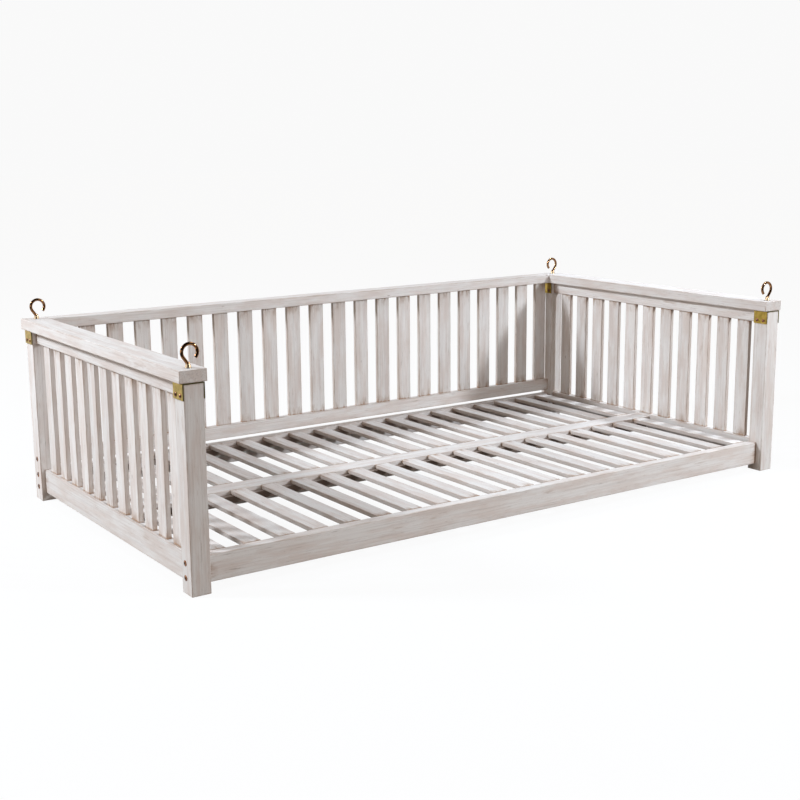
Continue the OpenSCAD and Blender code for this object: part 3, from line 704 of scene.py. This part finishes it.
def head_tree():
    """Geometry nodes for fasteners with domed heads: one on each point, its head facing the point's
    outward."""
    if "fastener" in bpy.data.node_groups:
        return bpy.data.node_groups["fastener"]
    tree, add, given = open_tree(
        "fastener",
        (
            ("Points", "Geometry", None),
            ("Across", "Float", 0.01),
            ("Rise", "Float", 0.002),
            ("Shank", "Float", 0.004),
            ("Depth", "Float", 0.02),
            ("Key Size", "Float", 0.005),
            ("Crossed", "Bool", True),
            ("Seed", "Int", 1),
            ("Finish", "Material", None),
        ),
    )
    proportions = (
        ("rim_radius", "Across", 0.5),
        ("rim_depth", "Rise", 0.7),
        ("dome_radius", "Across", 0.48),
        ("shank_radius", "Shank", 0.5),
        ("shank_middle", "Depth", -0.5),
        ("key_depth", "Rise", 1.1),
        ("key_height", "Rise", 0.9),
        ("arm_width", "Key Size", 0.24),
        ("hexagon_radius", "Key Size", 0.577),
    )
    part = {
        name: add("ShaderNodeMath", (given[size], share), operation="MULTIPLY")
        for name, size, share in proportions
    }

    # the dome is a flattened ball, over a rim a third of the head's height thick
    ball = add("GeometryNodeMeshUVSphere", {"Segments": 40, "Rings": 20, "Radius": 1.0})
    flat = add("ShaderNodeCombineXYZ", (part["dome_radius"], part["dome_radius"], given["Rise"]))
    dome = add("GeometryNodeTransform", {"Geometry": ball, "Scale": flat})
    rim = {"Vertices": 40, "Radius": part["rim_radius"], "Depth": part["rim_depth"]}
    rim = add("GeometryNodeMeshCylinder", rim)
    shank = {"Vertices": 20, "Radius": part["shank_radius"], "Depth": given["Depth"]}
    shank = add("GeometryNodeMeshCylinder", shank)
    down = add("ShaderNodeCombineXYZ", {"Z": part["shank_middle"]})
    shank = add("GeometryNodeTransform", {"Geometry": shank, "Translation": down})
    whole = add("GeometryNodeMeshBoolean", {"Mesh 2": [dome, rim, shank]}, operation="UNION", solver="EXACT")

    # the recess for the key: a cross, or six sides
    arm = add("ShaderNodeCombineXYZ", (given["Key Size"], part["arm_width"], part["key_depth"]))
    arm = add("GeometryNodeMeshCube", {"Size": arm})
    other_arm = add("GeometryNodeTransform", {"Geometry": arm, "Rotation": (0, 0, math.pi / 2)})
    cross = add("GeometryNodeMeshBoolean", {"Mesh 2": [arm, other_arm]}, operation="UNION", solver="EXACT")
    hexagon = {"Vertices": 6, "Radius": part["hexagon_radius"], "Depth": part["key_depth"]}
    hexagon = add("GeometryNodeMeshCylinder", hexagon)
    choice = {"Switch": given["Crossed"], "False": hexagon, "True": cross}
    key = add("GeometryNodeSwitch", choice, input_type="GEOMETRY")
    raised = add("ShaderNodeCombineXYZ", {"Z": part["key_height"]})
    key = add("GeometryNodeTransform", {"Geometry": key, "Translation": raised})
    # the key's recess is marked for its painted shade
    kept = {"Geometry": key, "Name": "recess", "Value": 1.0}
    key = add("GeometryNodeStoreNamedAttribute", kept, data_type="FLOAT", domain="FACE")
    head = {"Mesh 1": whole, "Mesh 2": key}
    head = add("GeometryNodeMeshBoolean", head, operation="DIFFERENCE", solver="EXACT")

    outward = add("GeometryNodeInputNamedAttribute", {"Name": "outward"}, data_type="FLOAT_VECTOR")
    facing = add("FunctionNodeAlignRotationToVector", {"Vector": outward}, axis="Z")
    draw = {"Max": math.pi, "Seed": given["Seed"], "ID": add("GeometryNodeInputIndex")}
    chance = add("FunctionNodeRandomValue", draw, data_type="FLOAT")
    spin = add("ShaderNodeCombineXYZ", {"Z": chance})
    spin = add("FunctionNodeEulerToRotation", (spin,))
    turned = {"Rotation": facing, "Rotate By": spin}
    turned = add("FunctionNodeRotateRotation", turned, rotation_space="LOCAL")
    heads = {"Points": given["Points"], "Instance": head, "Rotation": turned}
    close_tree(add, add("GeometryNodeInstanceOnPoints", heads), given["Finish"])
    return tree


def fasteners(node, across, key_size, crossed, finish, slot_name, seed):
    """Domed fasteners along X where the CAD has plain ones: same seat, same height of head, same length."""
    work = bmesh.new()
    work.from_mesh(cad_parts[node].data)
    bmesh.ops.remove_doubles(work, verts=work.verts, dist=SAME_POINT)
    # one solid after another in the mesh's own order, so that each gets the same turn in every run
    seats, outwards, done = [], [], set()
    for first in work.verts:
        if first in done:
            continue
        part, edge = set(), {first}
        while edge:
            part |= edge
            edge = {other.other_vert(vertex) for vertex in edge for other in vertex.link_edges} - part
        done |= part
        points = [vertex.co.copy() for vertex in part]
        low, high = (
            Vector([pick(point[axis] for point in points) for axis in range(3)]) for pick in (min, max)
        )
        middle, widest = (low + high) / 2, max(high.y - low.y, high.z - low.z)
        reach = [(p.x, math.hypot(p.y - middle.y, p.z - middle.z)) for p in points]
        head = [x for x, out in reach if out > 0.49 * widest]
        outward = 1.0 if sum(head) / len(head) > middle.x else -1.0
        seat = min(head) if outward > 0 else max(head)
        seats.append((seat, middle.y, middle.z))
        outwards += [outward, 0.0, 0.0]
        rise = abs((high.x if outward > 0 else low.x) - seat)
        shank = 2 * min(out for x, out in reach if abs(x - seat) > rise + 0.001)
        depth = high.x - low.x - rise
    work.free()
    mesh = bpy.data.meshes.new(node + "_seats")
    mesh.from_pydata(seats, [], [])
    mesh.attributes.new("outward", "FLOAT_VECTOR", "POINT").data.foreach_set("vector", outwards)
    given = {"Across": across, "Rise": rise, "Shank": shank, "Depth": depth, "Key Size": key_size}
    given.update({"Crossed": crossed, "Seed": seed, "Finish": material(finish)})
    made = grow(node + "_domed", head_tree(), mesh, **given)
    soften(made.data)
    return finished(flat_shading_kept(made), "frame", [node])


class SWINGBED_OT_hooks(bpy.types.Operator):
    """Finishes the four hook bolts and the saddles they stand on"""

    bl_idname = "swing_bed.hooks"
    bl_label = "Hook Bolts and Saddles"

    def execute(self, context):
        for corner in CORNERS:
            paint_node("hook_" + corner, material("bronzed_steel"))
            paint_node("saddle_" + corner, material("yellow_zinc_steel"))
        return {"FINISHED"}


class SWINGBED_OT_fixings(bpy.types.Operator):
    """Finishes the screws, bolts, nuts, washers and dowels"""

    bl_idname = "swing_bed.fixings"
    bl_label = "Fixings"

    def execute(self, context):
        hexagonal = {"across": 0.0145, "key_size": 0.0060, "crossed": False, "seed": 4}
        crossed = {"across": 0.0104, "key_size": 0.0056, "crossed": True, "seed": 6}
        fasteners("rail_bolts", finish="dark_bolt_steel", slot_name="bolt_metal", **hexagonal)
        fasteners("saddle_screws", finish="copper_zinc_steel", slot_name="saddle_metal", **crossed)
        for node in ZINC_FIXINGS:
            paint_node(node, material("bright_zinc_steel"))
        for node in DOWELS:
            paint_node(node, material("beech_dowel"))
        return {"FINISHED"}


# ---------------------------------------------------------------- stage

# the photograph's camera: its place, its heading, tilt down and roll in radians, and its lens and sensor in
# millimetres
CAMERA_PLACE = (-2.217114, -3.164207, 1.048079)
CAMERA_YAW, CAMERA_PITCH, CAMERA_ROLL = 0.60008, 0.20188, -0.00846
CAMERA_LENS, CAMERA_SENSOR = 58.76, 36.0

# a hard lamp front right, a broad one back left, a low one to fill from the left, a soft one overhead: each
# one's name, place, side of its square, watts, and how cool it is; all of them face the bed's middle
LAMPS = (
    ("front_right_lamp", (1.93, -3.2, 1.56), 0.28, 93.0, 0.07),
    ("back_left_lamp", (-4.6, 2.0, 3.35), 0.8, 288.0, 0.075),
    ("left_fill", (-5.0, -0.8, 0.9), 1.5, 33.0, 0.06),
    ("overhead_lamp", (0.7, -0.4, 2.6), 1.0, 20.0, 0.15),
)
BED_MIDDLE = Vector((0, 0, 0.25))

# a narrow strip of light from above the right side falls through its slats onto the deck's edge
STRIP_PLACE, STRIP_TARGET = (1.75, 0.0, 2.6), Vector((0.99, 0.0, 0.35))
STRIP_LENGTH, STRIP_WIDTH, STRIP_SPREAD = 1.15, 0.24, math.radians(8)
STRIP_WATTS, STRIP_COOL = 0.58, 0.1


def seen_rays(add):
    """1 for the rays that show the background itself: to the camera, in a gloss or through glass."""
    rays = add("ShaderNodeLightPath").outputs
    seen = rays["Is Camera Ray"]
    for kind in ("Is Glossy Ray", "Is Transmission Ray"):
        seen = add("ShaderNodeMath", (seen, rays[kind]), operation="ADD", use_clamp=True)
    return seen


def floor_material():
    """Pale seamless floor: near white where it is seen, with the object's shadow left on it, and a plain
    grey to the light that bounces off it."""
    made, add = open_material("pale_floor")
    bounce = add("ShaderNodeBsdfPrincipled", {"Base Color": (0.12, 0.095, 0.075, 1), "Roughness": 0.9})
    pale = add(
        "ShaderNodeBsdfPrincipled",
        {
            "Base Color": (0.05, 0.053, 0.056, 1),
            "Roughness": 1.0,
            "Specular IOR Level": 0.0,
            "Emission Color": (1, 1, 1, 1),
            "Emission Strength": 0.935,
        },
    )
    shown = add("ShaderNodeMixShader", (seen_rays(add), bounce, pale))
    add("ShaderNodeOutputMaterial", {"Surface": shown})
    return made


def lay_floor():
    """Lays the floor, 30 m to each side."""
    work = bmesh.new()
    bmesh.ops.create_grid(work, x_segments=2, y_segments=2, size=30.0)
    mesh = bpy.data.meshes.new("floor")
    work.to_mesh(mesh)
    work.free()
    mesh.materials.append(floor_material())
    new_object("floor", mesh)


def dark_card(ahead):
    """A black card that lies on the floor in front of the bed and curves up over the camera. Only the gloss
    of the metal shows it, as it shows a studio's dark side: the hooks' bars are nearly black where they face
    it."""
    near, far, above_floor = 1.8, 6.5, 0.003
    half_width, top, steps = math.radians(84), math.radians(128), 10
    rises = [top * i / steps for i in range(1, steps + 1)]
    profile = [(near, above_floor), (far, above_floor)]
    profile += [(far * math.cos(a), far * math.sin(a)) for a in rises]
    heading = math.atan2(-ahead.y, -ahead.x)
    bearings = [heading + half_width * (j / steps - 1) for j in range(2 * steps + 1)]
    work = bmesh.new()
    rows = [
        [work.verts.new((out * math.cos(a), out * math.sin(a), height)) for a in bearings]
        for out, height in profile
    ]
    for low, high in zip(rows, rows[1:]):
        for j in range(2 * steps):
            work.faces.new((low[j], low[j + 1], high[j + 1], high[j]))
    mesh = bpy.data.meshes.new("dark_card")
    work.to_mesh(mesh)
    work.free()
    made, add = open_material("black_card")
    shader = add("ShaderNodeBsdfPrincipled", {"Base Color": (0.01, 0.01, 0.01, 1), "Roughness": 1.0})
    add("ShaderNodeOutputMaterial", {"Surface": shader})
    mesh.materials.append(made)
    card = new_object("dark_card", mesh)
    card.visible_camera = card.visible_diffuse = card.visible_transmission = card.visible_shadow = False
    return card


def pale_studio():
    """The world: white where it is seen, and to the bed a dim light, warm near the floor, neutral above."""
    world = bpy.data.worlds.new("pale_studio")
    world.use_nodes = True
    world.node_tree.nodes.clear()
    add = partial(add_node, world.node_tree)
    upward = add("ShaderNodeSeparateXYZ", (add("ShaderNodeTexCoord").outputs["Generated"],)).outputs["Z"]
    height = add("ShaderNodeMapRange", {"Value": upward, "From Min": 0.25, "From Max": 0.85})
    ends = {"Factor": height, "A": (1.5, 1.0, 0.6, 1), "B": (1.04, 1.0, 0.96, 1)}
    tint = add("ShaderNodeMix", ends, data_type="RGBA")
    dim = add("ShaderNodeBackground", {"Color": tint, "Strength": 0.28})
    white = add("ShaderNodeBackground", {"Color": (1, 1, 1, 1), "Strength": 0.95})
    sky = add("ShaderNodeMixShader", (seen_rays(add), dim, white))
    add("ShaderNodeOutputWorld", {"Surface": sky})
    return world


def place_lamp(name, lamp, watts, cool, at, target):
    """Hangs a lamp at a point, turned to its target. Cool is how far its red is down and its blue up."""
    lamp.energy = watts
    lamp.color = (1 - cool, 1.0, 1 + 1.2 * cool)
    holder = bpy.data.objects.new(name, lamp)
    holder.location = at
    holder.rotation_euler = (target - Vector(at)).to_track_quat("-Z", "Y").to_euler()
    bpy.context.scene.collection.objects.link(holder)


class SWINGBED_OT_stage(bpy.types.Operator):
    """Sets the camera, the pale floor, the world and the lamps"""

    bl_idname = "swing_bed.stage"
    bl_label = "Stage"

    def execute(self, context):
        scene = context.scene
        scene.view_settings.view_transform = "Standard"

        level = math.cos(CAMERA_PITCH)
        ahead = Vector((math.sin(CAMERA_YAW) * level, math.cos(CAMERA_YAW) * level, -math.sin(CAMERA_PITCH)))
        right = Vector((math.cos(CAMERA_YAW), -math.sin(CAMERA_YAW), 0))
        up = right.cross(ahead)
        side = math.cos(CAMERA_ROLL) * right + math.sin(CAMERA_ROLL) * up
        top = -math.sin(CAMERA_ROLL) * right + math.cos(CAMERA_ROLL) * up
        camera = bpy.data.objects.new("photo_camera", bpy.data.cameras.new("photo_camera"))
        camera.location = CAMERA_PLACE
        camera.rotation_mode = "QUATERNION"
        camera.rotation_quaternion = Matrix((side, top, -ahead)).transposed().to_quaternion()
        camera.data.sensor_width = CAMERA_SENSOR
        camera.data.lens = CAMERA_LENS
        scene.collection.objects.link(camera)
        scene.camera = camera

        lay_floor()
        dark_card(ahead)
        scene.world = pale_studio()

        for name, at, size, watts, cool in LAMPS:
            lamp = bpy.data.lights.new(name, "AREA")
            lamp.shape = "SQUARE"
            lamp.size = size
            place_lamp(name, lamp, watts, cool, at, BED_MIDDLE)
        strip = bpy.data.lights.new("right_strip", "AREA")
        strip.shape = "RECTANGLE"
        strip.size, strip.size_y, strip.spread = STRIP_LENGTH, STRIP_WIDTH, STRIP_SPREAD
        place_lamp("right_strip", strip, STRIP_WATTS, STRIP_COOL, STRIP_PLACE, STRIP_TARGET)
        return {"FINISHED"}


STEPS = [
    SWINGBED_OT_stage,
    SWINGBED_OT_posts,
    SWINGBED_OT_rails,
    SWINGBED_OT_bearers,
    SWINGBED_OT_side_slats,
    SWINGBED_OT_back_slats,
    SWINGBED_OT_deck,
    SWINGBED_OT_hooks,
    SWINGBED_OT_fixings,
]


class SWINGBED_PT_panel(bpy.types.Panel):
    bl_idname = "SWINGBED_PT_panel"
    bl_label = "Swing Bed"
    bl_space_type = "VIEW_3D"
    bl_region_type = "UI"
    bl_category = "Swing Bed"

    def draw(self, context):
        for group in (context.scene.swing_bed_sizes, context.scene.swing_bed_finish):
            column = self.layout.column(align=True)
            for name in group.__annotations__:
                column.prop(group, name)
        for step in STEPS:
            self.layout.operator(step.bl_idname)


CLASSES = [SwingBedSizes, SwingBedFinish, *STEPS, SWINGBED_PT_panel]


def register():
    for cls in CLASSES:
        bpy.utils.register_class(cls)
    bpy.types.Scene.swing_bed_sizes = PointerProperty(type=SwingBedSizes)
    bpy.types.Scene.swing_bed_finish = PointerProperty(type=SwingBedFinish)


def unregister():
    del bpy.types.Scene.swing_bed_finish
    del bpy.types.Scene.swing_bed_sizes
    for cls in reversed(CLASSES):
        bpy.utils.unregister_class(cls)


def main():
    register()
    for operator in (
        bpy.ops.swing_bed.stage,
        bpy.ops.swing_bed.posts,
        bpy.ops.swing_bed.rails,
        bpy.ops.swing_bed.bearers,
        bpy.ops.swing_bed.side_slats,
        bpy.ops.swing_bed.back_slats,
        bpy.ops.swing_bed.deck,
        bpy.ops.swing_bed.hooks,
        bpy.ops.swing_bed.fixings,
    ):
        operator()


if __name__ == "__main__":
    main()
